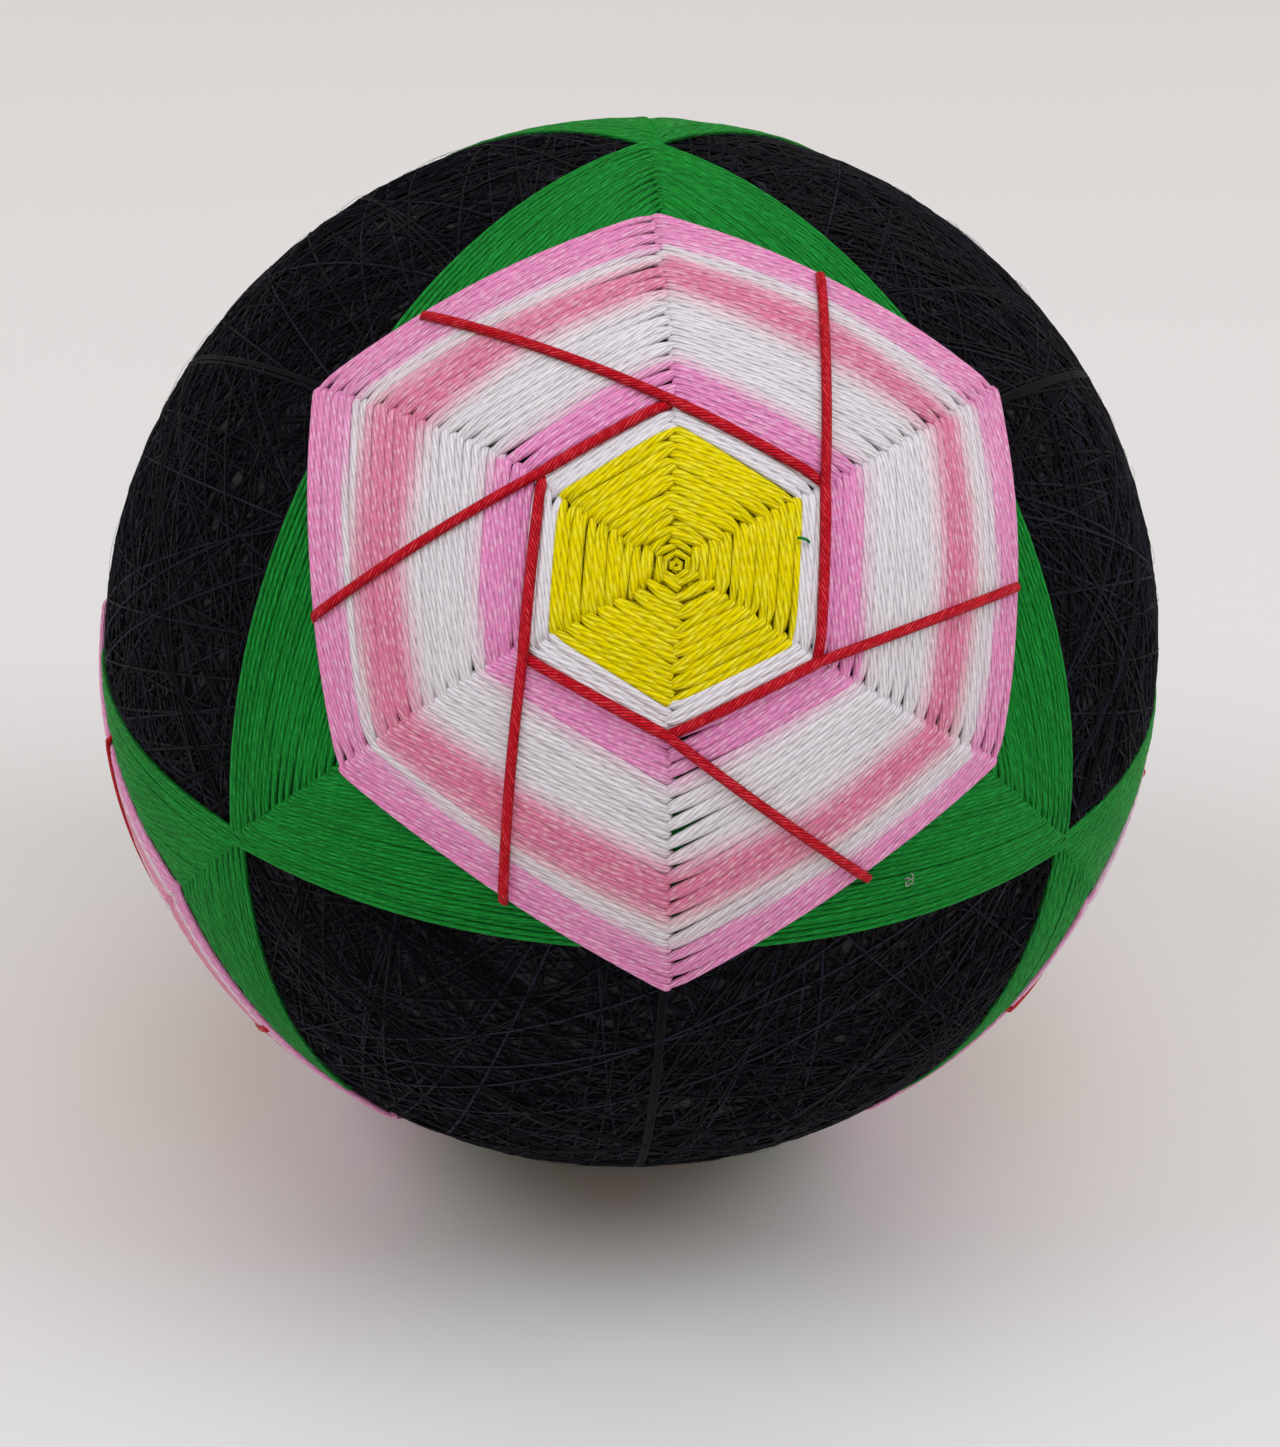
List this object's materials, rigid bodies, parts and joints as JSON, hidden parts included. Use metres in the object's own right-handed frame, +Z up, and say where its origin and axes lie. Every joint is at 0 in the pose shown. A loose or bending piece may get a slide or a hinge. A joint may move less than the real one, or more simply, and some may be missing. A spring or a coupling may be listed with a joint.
{
  "type": "temari ball",
  "caption": "Thread-wound dark ball with stitched hexagonal flowers in pink, white and yellow on green triangles, crossed by red cords; rests on a small flat.",
  "frame": {"origin": "middle of the small flat that the ball rests on, straight below the ball's centre", "axes": "+Z up from the flat through the ball's centre; one flower looks towards -Y and up, the others towards +X and down, +Y and up, -X and down"},
  "size_m": [0.0984, 0.0984, 0.0966],
  "materials": {
    "dark_thread": "matt fine sewing thread, wound at random, slightly fuzzy",
    "green_thread": "soft twisted cotton thread in close rows",
    "petal_thread": "satin two-ply cotton thread, dyed by turns mauve pink, white and salmon",
    "white_thread": "satin two-ply cotton thread",
    "yellow_thread": "satin two-ply cotton thread",
    "red_thread": "satin twisted cord"
  },
  "bodies": {
    "root": {"wound_ball": "dark_thread", "green_band_front": "green_thread", "petal_rows_front": "petal_thread", "white_round_front": "white_thread", "yellow_centre_front": "yellow_thread", "red_cords_front": "red_thread", "green_band_right": "green_thread", "petal_rows_right": "petal_thread", "white_round_right": "white_thread", "yellow_centre_right": "yellow_thread", "red_cords_right": "red_thread", "green_band_back": "green_thread", "petal_rows_back": "petal_thread", "white_round_back": "white_thread", "yellow_centre_back": "yellow_thread", "red_cords_back": "red_thread", "green_band_left": "green_thread", "petal_rows_left": "petal_thread", "white_round_left": "white_thread", "yellow_centre_left": "yellow_thread", "red_cords_left": "red_thread"}
  },
  "joints": []
}
